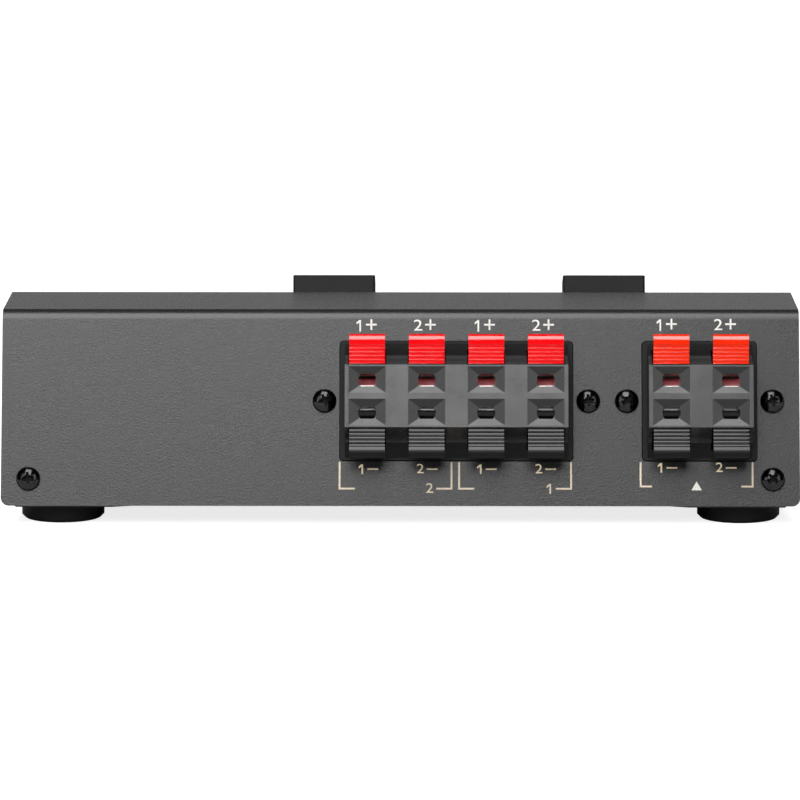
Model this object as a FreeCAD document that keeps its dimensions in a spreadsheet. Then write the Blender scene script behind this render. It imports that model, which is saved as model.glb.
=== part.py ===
import FreeCAD, Part
import math
import os
import re

import Sketcher

# Speaker selector switch: a desk-shaped steel case with push terminals on its leaning rear panel and
# two latching buttons on its sloping deck.
#
# Millimetres. +Z is up, +Y points to the rear panel, X runs along it. The origin lies on the table,
# under the middle of the whole outline.

SIZES = {
    # Case: cover folded from sheet, base tray, feet
    "case_width": 200.0,
    "case_depth": 120.0,
    "sheet": 1.0,
    "bend_radius": 3.0,
    "corner_radius": 2.0,
    "panel_lean": 16.5,
    "panel_length": 49.4,
    "strip_depth": 32.0,
    "lip_height": 22.0,
    "hem_depth": 6.0,
    "hem_inset": 3.5,
    "tray_sheet": 1.0,
    "tray_inset": 2.0,
    "tray_gap": 0.2,
    "flange_height": 10.4,
    "hook_width": 22.0,
    "hook_depth": 8.0,
    "hook_pitch": 60.0,
    "foot_height": 4.4,
    "foot_radius": 10.4,
    "foot_rounding": 0.8,
    "foot_side": 14.65,
    "foot_rear": 15.5,
    "foot_front": 19.0,
    "recess_radius": 3.9,
    "recess_depth": 2.4,
    "pad_depth": 1.0,
    "pad_edge": 0.6,
    "pad_margin": 2.4,
    "pad_taper": 14.0,
    # Pan-head screws, all of one thread
    "screw_radius": 1.5,
    "head_radius": 3.0,
    "head_height": 2.0,
    "head_dome": 0.9,
    "hole_gap": 0.2,
    "thread_gap": 0.05,
    "case_screw_inset": 6.85,
    "case_screw_rise": 6.8,
    "short_screw": 6.0,
    "long_screw": 8.0,
    # Terminal housings, measured from the panel's outer face (out) and from their middle (rise); the
    # inset is from the case's right side to the amplifier's block
    "amplifier_inset": 25.1,
    "block_spacing": 60.9,
    "block_rise": 26.5,
    "column_pitch": 14.83,
    "block_side": 7.08,
    "block_height": 30.1,
    "block_gap": 0.2,
    "block_corner": 1.1,
    "block_back": 10.5,
    "rim_out": 0.6,
    "rim_side": 1.3,
    "rim_shelf": 0.65,
    "face_out": 10.5,
    "face_height": 15.7,
    "scoop_out": 3.6,
    "scoop_rise": 10.9,
    "scoop_radius": 14.0,
    "throat_out": 7.5,
    "funnel_width": 9.2,
    "funnel_height": 6.65,
    "funnel_depth": 1.0,
    "funnel_rise": 4.08,
    "throat_width": 4.2,
    "hole_radius": 2.25,
    "hole_height": 3.1,
    "chamber_width": 9.4,
    "chamber_reach": 12.6,
    "centre_wall": 1.4,
    "screw_side": 10.8,
    "ear_reach": 3.4,
    "ear_height": 13.0,
    "ear_thickness": 3.0,
    "back_plate": 1.5,
    "back_shelf": 1.0,
    "slot_gap": 0.15,
    # Push levers, in the same measures
    "lever_width": 8.9,
    "lever_gap": 0.25,
    "pivot_out": 5.9,
    "pivot_rise": 7.2,
    "barrel_radius": 1.3,
    "trunnion_radius": 1.0,
    "trunnion_length": 0.7,
    "running_gap": 0.06,
    "bearing_depth": 0.55,
    "grip_out": 10.6,
    "grip_flare": 0.14,
    "grip_thickness": 2.4,
    "rib_pitch": 0.95,
    "rib_depth": 0.35,
    "nose_rise": 15.6,
    "nose_radius": 1.5,
    "neck_rise": 10.2,
    "tongue_near": 2.9,
    "tongue_far": 5.3,
    "tongue_out": 4.4,
    "tongue_fall": 2.4,
    "tongue_thickness": 2.8,
    "window_width": 5.0,
    # Spring contacts, in the same measures
    "strip_thickness": 0.5,
    "strip_width": 4.2,
    "lip_out": 6.4,
    "lip_reach": 2.35,
    "jaw_rise": 5.85,
    "jaw_out": 3.4,
    "leaf_root": 3.4,
    "leaf_out": 2.2,
    "leaf_gap": 0.2,
    "tag_length": 3.5,
    # Buttons and switches, measured from the deck's outer face and the case's right side
    "button_inset": 82.5,
    "button_pitch": 70.0,
    "button_setback": 13.0,
    "button_travel": 4.0,
    "cap_width": 21.3,
    "cap_length": 12.0,
    "cap_proud": 6.9,
    "cap_skirt": 4.0,
    "cap_wall": 1.4,
    "cap_gap": 0.3,
    "cap_rounding": 0.7,
    "boss_radius": 3.6,
    "plunger_width": 4.0,
    "plunger_gap": 0.1,
    "plunger_sink": 6.0,
    "switch_width": 14.0,
    "switch_length": 22.0,
    "switch_height": 16.0,
    "pin_width": 0.8,
    "pin_length": 3.2,
    "pin_pitch": 3.4,
    "pin_row": 9.0,
    "pin_gap": 0.1,
    "board_drop": 28.0,
    "board_thickness": 1.6,
    "board_inset": 7.5,
    "board_width": 125.5,
    "board_rear": 2.0,
    "board_length": 40.0,
    "standoff_radius": 2.75,
    "standoff_margin": 4.0,
    # Wires from the terminal tags to the board
    "wire_radius": 0.8,
    "wire_gap": 0.05,
    "wire_end_run": 5.0,
    "wire_board_run": 5.5,
}

COLUMNS = {"speaker": 4, "amplifier": 2}
ROWS = {"red": 1, "black": -1}
RIB_COUNT = 5
SWITCH_PINS = 6
WIRE_SIDES = 8

ANGLES = {
    "lean": "panel_lean",
    "deck_angle": "atan((top_z - lip_top_z) / (ridge_y - front_y))",
}

PLACES = {
    "case_bottom": "foot_height + pad_depth",
    "top_z": "case_bottom + panel_length * cos(lean)",
    "lip_top_z": "case_bottom + lip_height",
    "grip_root": "face_height / 2 + lever_gap",
    "nose_y": "(grip_out + grip_flare * (nose_rise - nose_radius - grip_root) - nose_radius) * cos(lean)",
    "nose_z": "(nose_rise - nose_radius - block_rise) * sin(lean)",
    "overhang": "nose_y + nose_z + nose_radius",
    "rear_y": "(case_depth - overhang) / 2",
    "front_y": "rear_y - case_depth",
    "fold_y": "rear_y - panel_length * sin(lean)",
    "ridge_y": "fold_y - strip_depth",
    "tray_half": "case_width / 2 - tray_inset",
    "tray_floor": "case_bottom + tray_sheet",
    "tray_skin": "sheet + tray_gap",
    "plate_out": "back_plate - block_back",
    "cap_middle": "0 - button_setback - cap_length / 2",
    "switch_top": "switch_height - board_drop",
    "case_screw_x": "case_width / 2 - case_screw_inset",
    "amplifier_x": "amplifier_inset - case_width / 2",
    "speaker_x": "amplifier_x + block_spacing",
    "button_x": "button_inset - case_width / 2",
    "board_x": "board_inset + board_width / 2 - case_width / 2",
}

TOLERANCE = 0.001

V = FreeCAD.Vector
doc = FreeCAD.newDocument("speaker_selector")


# --- Sizes and formulas --------------------------------------------------------------------------

def write_sheet():
    """Lay the driving sizes out in the document's spreadsheet."""
    sheet = doc.addObject("Spreadsheet::Sheet", "Sizes")
    for row, (name, value) in enumerate(SIZES.items(), start=1):
        sheet.set(f"A{row}", name)
        sheet.set(f"B{row}", str(value))
        sheet.setAlias(f"B{row}", name)
    doc.recompute()


def name_places():
    """Work out the places and angles that follow from the sizes, each under a name of its own."""
    derived = doc.addObject("App::VarSet", "Derived")
    for name in ANGLES:
        derived.addProperty("App::PropertyAngle", name)
    for name in PLACES:
        derived.addProperty("App::PropertyFloat", name)
    for name, formula in (ANGLES | PLACES).items():
        derived.setExpression(name, bound(formula))
    doc.recompute()


def bound(formula):
    """The formula as an expression on the sheet's cells and the named places."""
    def owner(match):
        name = match.group()
        if name in SIZES:
            return f"Sizes.{name}"
        return f"Derived.{name}" if name in ANGLES or name in PLACES else name
    return re.sub(r"[a-z][a-z_]*", owner, str(formula))


def measure(formula):
    """The number that the formula comes to."""
    def number(match):
        name = match.group()
        if name in SIZES:
            return f"({SIZES[name]})"
        if name in ANGLES:
            return f"({math.radians(getattr(doc.Derived, name).Value)})"
        return f"({getattr(doc.Derived, name)})" if name in PLACES else name
    return FreeCAD.Units.Quantity(re.sub(r"[a-z][a-z_]*", number, str(formula))).Value


# --- Sketches --------------------------------------------------------------------------------------

def new_body(label):
    body = doc.addObject("PartDesign::Body", label)
    body.Label = label
    return body


def new_sketch(body, role, name, lift="0"):
    """A sketch on one of the body's origin planes, lifted along the plane's normal."""
    sketch = body.newObject("Sketcher::SketchObject", name)
    plane = next(item for item in body.Origin.OriginFeatures if item.Role == role)
    sketch.AttachmentSupport = (plane, [""])
    sketch.MapMode = "FlatFace"
    sketch.setExpression("AttachmentOffset.Base.z", bound(lift))
    return sketch


def fix_point(sketch, geometry, end, x, y):
    """Hold one point of the sketch at the place that two formulas give."""
    for kind, formula in (("DistanceX", x), ("DistanceY", y)):
        number = sketch.addConstraint(Sketcher.Constraint(kind, -1, 1, geometry, end, measure(formula)))
        sketch.setExpression(f"Constraints[{number}]", bound(formula))


def draw_outline(sketch, corners):
    """A closed outline of straight lines; line n starts at corner n of this outline."""
    first = sketch.GeometryCount
    places = [V(measure(x), measure(y), 0) for x, y in corners]
    for start, end in zip(places, places[1:] + places[:1]):
        sketch.addGeometry(Part.LineSegment(start, end))
    for number in range(len(corners)):
        after = (number + 1) % len(corners)
        sketch.addConstraint(Sketcher.Constraint("Coincident", first + number, 2, first + after, 1))
    for number, (x, y) in enumerate(corners):
        fix_point(sketch, first + number, 1, x, y)


def draw_rectangle(sketch, x, y, width, height):
    """A rectangle of the given width and height about the point x, y."""
    left, right = f"({x}) - ({width}) / 2", f"({x}) + ({width}) / 2"
    low, high = f"({y}) - ({height}) / 2", f"({y}) + ({height}) / 2"
    draw_outline(sketch, [(left, low), (right, low), (right, high), (left, high)])


def draw_circle(sketch, x, y, radius):
    circle = Part.Circle(V(measure(x), measure(y), 0), V(0, 0, 1), measure(radius))
    number = sketch.addGeometry(circle)
    fix_point(sketch, number, 3, x, y)
    size = sketch.addConstraint(Sketcher.Constraint("Radius", number, measure(radius)))
    sketch.setExpression(f"Constraints[{size}]", bound(radius))


def draw_flat_hole(sketch, x, y, radius, height):
    """A round hole whose top and bottom are cut flat at the given height."""
    centre = V(measure(x), measure(y), 0)
    half_height = measure(height) / 2
    half_flat = (measure(radius) ** 2 - half_height ** 2) ** 0.5
    upper = V(half_flat, half_height, 0)
    lower = V(half_flat, -half_height, 0)
    middle = V(measure(radius), 0, 0)
    right = sketch.addGeometry(Part.Arc(centre + lower, centre + middle, centre + upper))
    top = sketch.addGeometry(Part.LineSegment(centre + upper, centre - lower))
    left = sketch.addGeometry(Part.Arc(centre - lower, centre - middle, centre - upper))
    bottom = sketch.addGeometry(Part.LineSegment(centre - upper, centre + lower))
    for before, after in ((right, top), (top, left), (left, bottom), (bottom, right)):
        sketch.addConstraint(Sketcher.Constraint("Coincident", before, 2, after, 1))
    for arc in (right, left):
        fix_point(sketch, arc, 3, x, y)
        size = sketch.addConstraint(Sketcher.Constraint("Radius", arc, measure(radius)))
        sketch.setExpression(f"Constraints[{size}]", bound(radius))
    for flat, side in ((top, "+"), (bottom, "-")):
        sketch.addConstraint(Sketcher.Constraint("Horizontal", flat))
        level = f"({y}) {side} ({height}) / 2"
        number = sketch.addConstraint(
            Sketcher.Constraint("DistanceY", -1, 1, flat, 1, measure(level)))
        sketch.setExpression(f"Constraints[{number}]", bound(level))


# --- Features ----------------------------------------------------------------------------------------

def add_feature(body, kind, name, sketch, length, symmetric, reverse):
    feature = body.newObject(f"PartDesign::{kind}", name)
    feature.Profile = sketch
    feature.setExpression("Length", bound(length))
    feature.SideType = "Symmetric" if symmetric else "One side"
    feature.Reversed = reverse
    doc.recompute()
    return feature


def pad(body, name, sketch, length, symmetric=False, reverse=False):
    return add_feature(body, "Pad", name, sketch, length, symmetric, reverse)


def pocket(body, name, sketch, length, symmetric=False, reverse=False):
    return add_feature(body, "Pocket", name, sketch, length, symmetric, reverse)


def wedge(body, kind, name, near, far):
    """An additive or subtractive block between two rectangles: y, then lowest and highest x and z."""
    feature = body.newObject(f"PartDesign::{kind}Wedge", name)
    for key, formula in zip(("Ymin", "Xmin", "Xmax", "Zmin", "Zmax"), near):
        feature.setExpression(key, bound(formula))
    for key, formula in zip(("Ymax", "X2min", "X2max", "Z2min", "Z2max"), far):
        feature.setExpression(key, bound(formula))
    doc.recompute()
    return feature


def upright(feature, body):
    """Stand a wedge up: its y runs along the body's Z, and its z against the body's Y."""
    plane = next(item for item in body.Origin.OriginFeatures if item.Role == "XZ_Plane")
    feature.AttachmentSupport = (plane, [""])
    feature.MapMode = "FlatFace"
    doc.recompute()


def revolve(body, name, sketch):
    """A full turn of the sketch about its own vertical axis."""
    feature = body.newObject("PartDesign::Revolution", name)
    feature.Profile = sketch
    feature.ReferenceAxis = (sketch, ["V_Axis"])
    feature.Angle = 360
    doc.recompute()
    return feature


def repeat_columns(body, name, features, columns):
    """Repeat features from the first column along X."""
    pattern = body.newObject("PartDesign::LinearPattern", name)
    pattern.Originals = features
    axis = next(item for item in body.Origin.OriginFeatures if item.Role == "X_Axis")
    pattern.Direction = (axis, [""])
    pattern.Reversed = True
    pattern.Mode = "Spacing"
    pattern.setExpression("Offset", bound("column_pitch"))
    pattern.Occurrences = columns
    body.Tip = pattern
    doc.recompute()
    return pattern


def corner_edges(feature, sketch, corners):
    """Names of the feature's straight edges that stand on the given corners of its sketch."""
    along = sketch.Placement.Rotation.multVec(V(0, 0, 1))
    names = []
    for corner in corners:
        foot = sketch.Placement.multVec(sketch.Geometry[corner].StartPoint)
        for number, edge in enumerate(feature.Shape.Edges, start=1):
            offsets = [(vertex.Point - foot).cross(along).Length for vertex in edge.Vertexes]
            if len(offsets) == 2 and max(offsets) < TOLERANCE:
                names.append(f"Edge{number}")
    return names


def middle_edges(feature, middles):
    """Names of the feature's edges whose middles lie at the given places."""
    names = []
    for x, y, z in middles:
        place = V(measure(x), measure(y), measure(z))
        for number, edge in enumerate(feature.Shape.Edges, start=1):
            middle = edge.valueAt((edge.FirstParameter + edge.LastParameter) / 2)
            if (middle - place).Length < TOLERANCE:
                names.append(f"Edge{number}")
    return names


def fillet(body, name, feature, edges, radius):
    rounding = body.newObject("PartDesign::Fillet", name)
    rounding.Base = (feature, edges)
    rounding.setExpression("Radius", bound(radius))
    doc.recompute()
    return rounding


# --- Places --------------------------------------------------------------------------------------------

def place(piece, x, y, z, turn):
    """Put a piece at x, y, z, turned about X by turn degrees."""
    piece.Placement = FreeCAD.Placement(V(0, 0, 0), FreeCAD.Rotation(V(1, 0, 0), 1))
    piece.setExpression("Placement.Base.x", bound(x))
    piece.setExpression("Placement.Base.y", bound(y))
    piece.setExpression("Placement.Base.z", bound(z))
    piece.setExpression("Placement.Rotation.Angle", bound(turn))
    doc.recompute()


def place_on_panel(piece, x, rise, turn="panel_lean"):
    """Put a piece on the rear panel's outer face, its Y axis out of the panel and Z up along it."""
    place(piece, x, f"rear_y - ({rise}) * sin(lean)", f"case_bottom + ({rise}) * cos(lean)", turn)


def place_on_deck(piece, x):
    """Put a piece on the deck's rear edge, its Y axis up the slope and Z out of the deck."""
    place(piece, x, "ridge_y", "top_z", "deck_angle")


def tilt_sketch(sketch, x, y, angle):
    """Move a sketch within its plane's frame and tilt it about its own X axis."""
    sketch.AttachmentOffset = FreeCAD.Placement(V(0, 0, 0), FreeCAD.Rotation(V(1, 0, 0), 1))
    sketch.setExpression("AttachmentOffset.Base.y", bound(x))
    sketch.setExpression("AttachmentOffset.Base.z", bound(y))
    sketch.setExpression("AttachmentOffset.Rotation.Angle", bound(angle))


def column_x(block, column):
    """Distance of a terminal column from its block's middle; the first column has the largest X."""
    return f"{(COLUMNS[block] - 1) / 2 - column} * column_pitch"


def block_width(block):
    return f"{COLUMNS[block] - 1} * column_pitch + 2 * block_side - 2 * block_gap"


def screw_x(block):
    """Distance of a terminal block's screws from its middle."""
    return f"{(COLUMNS[block] - 1) / 2} * column_pitch + screw_side"


# --- Case ------------------------------------------------------------------------------------------------

def case_corners(inset, floor):
    """Corners of the case's side outline from rear foot to front foot, inside the skin by inset."""
    rear_foot = f"rear_y - ({inset}) / cos(lean) - (({floor}) - case_bottom) * tan(lean)"
    head = f"fold_y - ({inset}) / cos(lean) + ({inset}) * tan(lean)"
    ridge = f"ridge_y + ({inset}) * tan(deck_angle / 2)"
    lip_head = f"lip_top_z + ({inset}) * (tan(deck_angle) - 1 / cos(deck_angle))"
    return [
        (rear_foot, floor),
        (head, f"top_z - ({inset})"),
        (ridge, f"top_z - ({inset})"),
        (f"front_y + ({inset})", lip_head),
        (f"front_y + ({inset})", floor),
    ]


def make_top_cover():
    """One sheet folded into rear panel, top strip, deck, front lip and an inward hem."""
    body = new_body("top_cover")
    profile = new_sketch(body, "YZ_Plane", "cover_profile")
    outer = case_corners("0", "case_bottom")
    inner = case_corners("sheet", "case_bottom")
    hem = [
        ("front_y + hem_depth", "case_bottom"),
        ("front_y + hem_depth", "case_bottom + sheet"),
        ("front_y + sheet", "case_bottom + sheet"),
    ]
    draw_outline(profile, outer + hem + inner[3:0:-1] + inner[:1])
    skin = pad(body, "cover_skin", profile, "case_width", symmetric=True)
    bends = corner_edges(skin, profile, [1, 2, 3])
    skin = fillet(body, "cover_bends", skin, bends, "bend_radius")
    bends = corner_edges(skin, profile, [8, 9, 10])
    skin = fillet(body, "cover_inner_bends", skin, bends, "bend_radius - sheet")

    notches = new_sketch(body, "XY_Plane", "hem_notches", "case_bottom")
    for side in ("", "-"):
        edge = f"{side}case_width / 2"
        draw_rectangle(notches, edge, "front_y + sheet + hem_depth", "2 * hem_inset", "2 * hem_depth")
    skin = pocket(body, "hem_ends", notches, "2.5 * sheet", symmetric=True)

    corners = []
    for side in ("", "-"):
        edge = f"{side}case_width / 2"
        corners.append((edge, "rear_y - sheet / cos(lean) / 2", "case_bottom"))
        corners.append((edge, "front_y + sheet / 2", "case_bottom"))
    skin = fillet(body, "cover_corners", skin, middle_edges(skin, corners), "corner_radius")

    rear_cuts = new_sketch(body, "XZ_Plane", "rear_cuts")
    tilt_sketch(rear_cuts, "case_bottom", "0 - rear_y", "panel_lean")
    for block in COLUMNS:
        middle = f"{block}_x"
        draw_rectangle(rear_cuts, middle, "block_rise", f"{block_width(block)} + 2 * block_gap",
                       "block_height + 2 * block_gap")
        for side in ("+", "-"):
            screw = f"{middle} {side} ({screw_x(block)})"
            draw_circle(rear_cuts, screw, "block_rise", "screw_radius + hole_gap")
    for side in ("", "-"):
        draw_circle(rear_cuts, f"{side}case_screw_x", "case_screw_rise", "screw_radius + hole_gap")
    skin = pocket(body, "rear_openings", rear_cuts, "3 * sheet", symmetric=True)
    rectangles = [4 * number + corner for number in (0, 1) for corner in range(4)]
    starts = [6 * (number // 4) + number % 4 for number in rectangles]
    skin = fillet(body, "opening_corners", skin, corner_edges(skin, rear_cuts, starts), "block_corner")

    deck_cuts = new_sketch(body, "XY_Plane", "deck_cuts")
    tilt_sketch(deck_cuts, "ridge_y", "top_z", "deck_angle")
    for side in ("+", "-"):
        draw_rectangle(deck_cuts, f"button_x {side} button_pitch / 2", "cap_middle",
                       "cap_width + 2 * cap_gap", "cap_length + 2 * cap_gap")
    skin = pocket(body, "button_openings", deck_cuts, "3 * sheet", symmetric=True)
    edges = corner_edges(skin, deck_cuts, range(8))
    fillet(body, "button_opening_corners", skin, edges, "cap_rounding + cap_gap")


def make_base_tray():
    """Floor, side walls and rear flange in one piece, with foot pads pressed into the floor."""
    body = new_body("base_tray")
    profile = new_sketch(body, "YZ_Plane", "tray_profile")
    draw_outline(profile, case_corners("tray_skin", "case_bottom"))
    shell = pad(body, "tray_block", profile, "2 * tray_half", symmetric=True)
    bends = corner_edges(shell, profile, [1, 2, 3])
    fillet(body, "tray_bends", shell, bends, "bend_radius - tray_skin")

    inside = new_sketch(body, "YZ_Plane", "tray_inside")
    rear_low, rear_high = case_corners("tray_skin + tray_sheet", "tray_floor")[:2]
    draw_outline(inside, [
        rear_low,
        rear_high,
        (rear_high[0], "top_z + sheet"),
        ("front_y", "top_z + sheet"),
        ("front_y", "tray_floor"),
    ])
    shell = pocket(body, "tray_hollow", inside, "2 * tray_half - 2 * tray_sheet", symmetric=True)

    above = new_sketch(body, "YZ_Plane", "above_flange")
    flange_top = "case_bottom + flange_height * cos(lean)"
    draw_outline(above, [
        ("fold_y - strip_depth / 2", flange_top),
        ("rear_y", flange_top),
        ("rear_y", "top_z + sheet"),
        ("fold_y - strip_depth / 2", "top_z + sheet"),
    ])
    shell = pocket(body, "flange_edge", above, "2 * tray_half - 2 * tray_sheet", symmetric=True)

    hem_room = new_sketch(body, "YZ_Plane", "hem_room")
    draw_outline(hem_room, [
        ("front_y", "case_bottom - sheet"),
        ("front_y + hem_depth + tray_gap", "case_bottom - sheet"),
        ("front_y + hem_depth + tray_gap", "tray_floor + sheet"),
        ("front_y", "tray_floor + sheet"),
    ])
    shell = pocket(body, "hem_clearance", hem_room, "2 * tray_half - 2 * tray_sheet", symmetric=True)

    hooks = new_sketch(body, "XY_Plane", "hooks", "tray_floor")
    for step in (-1, 0, 1):
        draw_rectangle(hooks, f"{step} * hook_pitch", "front_y + tray_skin + hook_depth",
                       "hook_width", "2 * hook_depth - 2 * tray_gap")
    shell = pad(body, "tray_hooks", hooks, "tray_sheet")

    pads = foot_places()
    for number, (x, y, side, end) in enumerate(pads, start=1):
        outer_x = f"{side} * (tray_half - pad_edge)"
        inner_x = f"{side} * (case_width / 2 - foot_side - foot_radius - pad_margin)"
        outer_y = f"({y}) + {end} * (foot_radius + pad_margin)"
        inner_y = f"({y}) - {end} * (foot_radius + pad_margin)"
        top_x = [f"({inner_x}) - {side} * pad_taper", outer_x][::side]
        top_y = [f"({inner_y}) - {end} * pad_taper", outer_y][::end]
        low_x = [inner_x, f"({outer_x}) - {side} * pad_depth"][::side]
        low_y = [inner_y, f"({outer_y}) - {end} * pad_depth"][::end]
        pressed = wedge(body, "Additive", f"foot_pad_{number}",
                        ("foot_height", *low_x, *(f"0 - ({edge})" for edge in low_y[::-1])),
                        ("case_bottom", *top_x, *(f"0 - ({edge})" for edge in top_y[::-1])))
        upright(pressed, body)

    holes = new_sketch(body, "XY_Plane", "foot_holes", "foot_height")
    for x, y, side, end in pads:
        draw_circle(holes, x, y, "screw_radius + thread_gap")
    shell = pocket(body, "foot_screw_holes", holes, "pad_depth + 2 * tray_sheet", reverse=True)

    flange_holes = new_sketch(body, "XZ_Plane", "flange_holes")
    tilt_sketch(flange_holes, "case_bottom", "0 - rear_y", "panel_lean")
    for side in ("", "-"):
        draw_circle(flange_holes, f"{side}case_screw_x", "case_screw_rise", "screw_radius + thread_gap")
    shell = pocket(body, "flange_screw_holes", flange_holes, "3 * (tray_skin + tray_sheet)",
                   symmetric=True)


def foot_places():
    """Foot centres, with the side (+1 or -1 along X) and end (+1 rear, -1 front) of each."""
    reach = "(case_width / 2 - foot_side)"
    ends = {1: "rear_y - foot_rear", -1: "front_y + foot_front"}
    return [(f"{side} * {reach}", ends[end], side, end) for end in (1, -1) for side in (1, -1)]


def make_feet():
    """Four rubber feet with a recess for the screw that holds each."""
    names = ("foot_rear_left", "foot_rear_right", "foot_front_left", "foot_front_right")
    for name, (x, y, side, end) in zip(names, foot_places()):
        body = new_body(name)
        half = new_sketch(body, "XZ_Plane", f"{name}_profile")
        bore = "screw_radius + hole_gap"
        draw_outline(half, [
            (bore, "foot_height"),
            (bore, "recess_depth"),
            ("recess_radius", "recess_depth"),
            ("recess_radius", "0"),
            ("foot_radius - foot_rounding", "0"),
            ("foot_radius", "foot_rounding"),
            ("foot_radius", "foot_height"),
        ])
        revolve(body, f"{name}_turn", half)
        place(body, x, y, "0", "0")


# --- Screws ------------------------------------------------------------------------------------------------

def make_screws(label, places, length):
    """Pan-head screws that share a node: heads above the body's XY plane, shanks below it."""
    body = new_body(label)
    body.AllowCompound = True
    for number, (x, y) in enumerate(places, start=1):
        half = new_sketch(body, "XZ_Plane", f"{label}_profile_{number}", f"0 - ({y})")
        half.setExpression("AttachmentOffset.Base.x", bound(x))
        draw_outline(half, [
            ("0", f"0 - ({length})"),
            ("screw_radius", f"0 - ({length})"),
            ("screw_radius", "0"),
            ("head_radius", "0"),
            ("head_radius", "head_height - head_dome"),
            ("head_radius - head_dome", "head_height"),
            ("0", "head_height"),
        ])
        revolve(body, f"{label}_{number}", half)
    return body


def make_all_screws():
    """Screws of the terminal blocks, the rear panel, the feet and the board."""
    places = []
    for block in COLUMNS:
        for side in ("+", "-"):
            places.append((f"{block}_x {side} ({screw_x(block)})", "0"))
    place_on_panel(make_screws("terminal_screws", places, "short_screw"), "0", "block_rise",
                   "panel_lean - 90")
    places = [("case_screw_x", "0"), ("0 - case_screw_x", "0")]
    place_on_panel(make_screws("case_screws", places, "short_screw"), "0", "case_screw_rise",
                   "panel_lean - 90")
    places = [(x, f"0 - ({y})") for x, y, side, end in foot_places()]
    place(make_screws("foot_screws", places, "recess_depth"), "0", "0", "recess_depth", "180")
    screws = make_screws("board_screws", [(x, f"0 - ({y})") for x, y in standoff_places()],
                         "long_screw")
    place(screws, "0", *on_deck("0", "0 - board_drop - board_thickness"), "deck_angle + 180 deg")


# --- Terminal blocks -----------------------------------------------------------------------------------------

def make_housing(block):
    """Moulded housing: rim in the panel's opening, raised face with funnels, ears behind the panel."""
    body = new_body(f"{block}_terminal_housing")
    width = block_width(block)
    columns = range(COLUMNS[block])

    base = new_sketch(body, "XZ_Plane", f"{block}_base", "0 - rim_out")
    draw_rectangle(base, "0", "0", width, "block_height")
    solid = pad(body, f"{block}_base_pad", base, "rim_out + block_back")
    edges = corner_edges(solid, base, range(4))
    solid = fillet(body, f"{block}_base_corners", solid, edges, "block_corner - block_gap")

    ridge = new_sketch(body, "YZ_Plane", f"{block}_ridge")
    foot = "block_height / 2 - rim_shelf"
    draw_outline(ridge, [
        ("0", f"0 - ({foot})"),
        ("rim_out", f"0 - ({foot})"),
        ("scoop_out", "0 - scoop_rise"),
        ("face_out", "0 - face_height / 2"),
        ("face_out", "face_height / 2"),
        ("scoop_out", "scoop_rise"),
        ("rim_out", foot),
        ("0", foot),
    ])
    solid = pad(body, f"{block}_ridge_pad", ridge, f"{width} - 2 * rim_side", symmetric=True)
    edges = corner_edges(solid, ridge, [2, 5])
    solid = fillet(body, f"{block}_scoops", solid, edges, "scoop_radius")

    ears = new_sketch(body, "XZ_Plane", f"{block}_ears", "sheet")
    reach = f"{screw_x(block)} + ear_reach"
    draw_rectangle(ears, "0", "0", f"2 * ({reach})", "ear_height")
    solid = pad(body, f"{block}_ear_pad", ears, "ear_thickness")
    edges = corner_edges(solid, ears, range(4))
    solid = fillet(body, f"{block}_ear_corners", solid, edges, "ear_reach - thread_gap")

    holes = new_sketch(body, "XZ_Plane", f"{block}_ear_holes", "0")
    for side in ("", "-"):
        draw_circle(holes, f"{side}({screw_x(block)})", "0", "screw_radius + thread_gap")
    pocket(body, f"{block}_ear_hole_cut", holes, "3 * (sheet + ear_thickness)", symmetric=True)

    seat = new_sketch(body, "XZ_Plane", f"{block}_back_seat", "block_back")
    draw_rectangle(seat, "0", "0", f"{width} - 2 * back_shelf", "block_height - 2 * back_shelf")
    pocket(body, f"{block}_back_seat_cut", seat, "back_plate")

    chambers = new_sketch(body, "XZ_Plane", f"{block}_chambers", "block_back")
    middle = "(centre_wall / 2 + chamber_reach) / 2"
    for column in columns:
        for row in ROWS.values():
            draw_rectangle(chambers, column_x(block, column), f"{row} * {middle}", "chamber_width",
                           "chamber_reach - centre_wall / 2")
    pocket(body, f"{block}_chamber_cut", chambers, "block_back + throat_out")

    slots = new_sketch(body, "XZ_Plane", f"{block}_lever_slots", "0 - throat_out")
    for column in columns:
        for row in ROWS.values():
            draw_rectangle(slots, column_x(block, column),
                           f"{row} * (face_height / 2 + chamber_reach) / 2", "chamber_width",
                           "chamber_reach - face_height / 2")
    pocket(body, f"{block}_lever_slot_cut", slots, "2 * (face_out - throat_out)", symmetric=True)

    holes = new_sketch(body, "XZ_Plane", f"{block}_wire_holes", "0 - face_out")
    for column in columns:
        for row in ROWS.values():
            draw_flat_hole(holes, column_x(block, column), f"{row} * funnel_rise", "hole_radius",
                           "hole_height")
    pocket(body, f"{block}_wire_hole_cut", holes, "face_out - throat_out + sheet", reverse=True)

    first = column_x(block, 0)
    cuts = []
    for colour, row in ROWS.items():
        funnel = []
        for out, wide, high in (("face_out - funnel_depth", "throat_width", "hole_height"),
                                ("face_out", "funnel_width", "funnel_height")):
            funnel.append((out, f"{first} - {wide} / 2", f"{first} + {wide} / 2",
                           f"{row} * funnel_rise - {high} / 2", f"{row} * funnel_rise + {high} / 2"))
        cuts.append(wedge(body, "Subtractive", f"{block}_{colour}_funnel", *funnel))
    bearings = new_sketch(body, "YZ_Plane", f"{block}_bearings", first)
    for row in ROWS.values():
        draw_circle(bearings, "pivot_out", f"{row} * pivot_rise", "trunnion_radius + running_gap")
    cuts.append(pocket(body, f"{block}_bearing_cut", bearings, "chamber_width + 2 * bearing_depth",
                       symmetric=True))
    repeat_columns(body, f"{block}_columns", cuts, COLUMNS[block])
    place_on_panel(body, f"{block}_x", "block_rise")


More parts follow.
